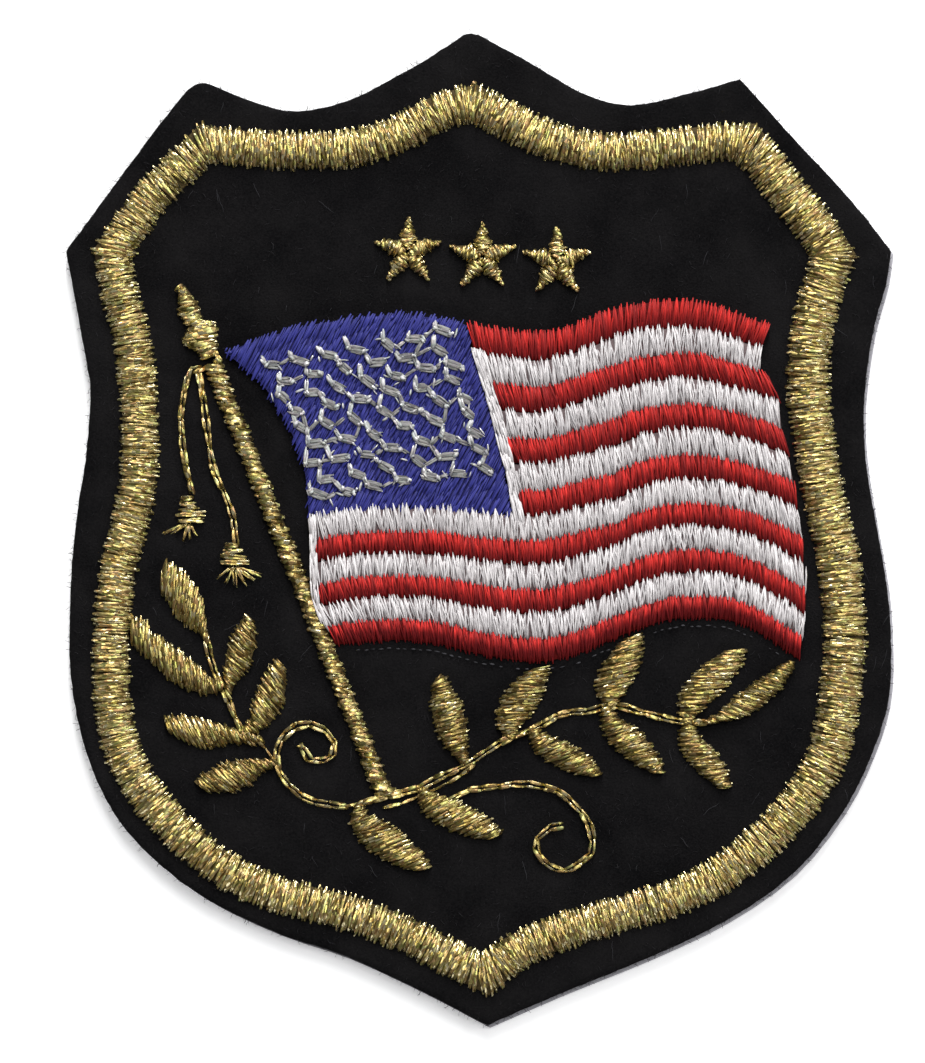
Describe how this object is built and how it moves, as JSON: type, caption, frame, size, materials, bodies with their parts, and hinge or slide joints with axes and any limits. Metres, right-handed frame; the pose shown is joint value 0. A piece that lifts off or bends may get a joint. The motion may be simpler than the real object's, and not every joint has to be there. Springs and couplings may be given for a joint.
{
  "type": "embroidered flag patch",
  "caption": "Black felt shield patch with a metallic satin border, a waving striped flag on its pole, tasselled cords, leaf sprays and small stars.",
  "frame": {"origin": "under the middle of the patch's box, on the back face of the backing film", "axes": "+Z out of the stitched face, +Y towards the shield's top peak, +X to the right as the flag flies"},
  "size_m": [0.0637, 0.0765, 0.0024],
  "materials": {
    "black_felt": "black wool-like felt with a short nap and a cut edge",
    "backing_film": "pale grey lilac fused film, slightly glossy",
    "gold_thread": "metallic thread, old gold, shiny with fine sparkle",
    "silver_thread": "grey silver rayon thread, satin",
    "red_thread": "red rayon satin stitches, silky",
    "white_thread": "white rayon satin stitches, silky",
    "blue_thread": "blue rayon fill stitches, silky"
  },
  "bodies": {
    "root": {"backing_film": "backing_film", "felt_ground": "black_felt", "border": "gold_thread", "flagpole": "gold_thread", "pole_finial": "gold_thread", "cord_left": "gold_thread", "cord_right": "gold_thread", "tassel_left": "gold_thread", "tassel_right": "gold_thread", "canton": "blue_thread", "star_stitches": "silver_thread", "stem_left": "gold_thread", "stem_right": "gold_thread", "scroll_left": "gold_thread", "scroll_right": "gold_thread", "red_stripe_1": "red_thread", "red_stripe_2": "red_thread", "red_stripe_3": "red_thread", "red_stripe_4": "red_thread", "red_stripe_5": "red_thread", "red_stripe_6": "red_thread", "red_stripe_7": "red_thread", "white_stripe_1": "white_thread", "white_stripe_2": "white_thread", "white_stripe_3": "white_thread", "white_stripe_4": "white_thread", "white_stripe_5": "white_thread", "white_stripe_6": "white_thread", "leaf_left_1": "gold_thread", "leaf_left_2": "gold_thread", "leaf_left_3": "gold_thread", "leaf_left_4": "gold_thread", "leaf_left_5": "gold_thread", "leaf_left_6": "gold_thread", "leaf_right_1": "gold_thread", "leaf_right_2": "gold_thread", "leaf_right_3": "gold_thread", "leaf_right_4": "gold_thread", "leaf_right_5": "gold_thread", "leaf_right_6": "gold_thread", "leaf_right_7": "gold_thread", "leaf_right_8": "gold_thread", "leaf_right_9": "gold_thread", "leaf_right_10": "gold_thread", "top_star_1": "gold_thread", "top_star_2": "gold_thread", "top_star_3": "gold_thread"}
  },
  "joints": []
}
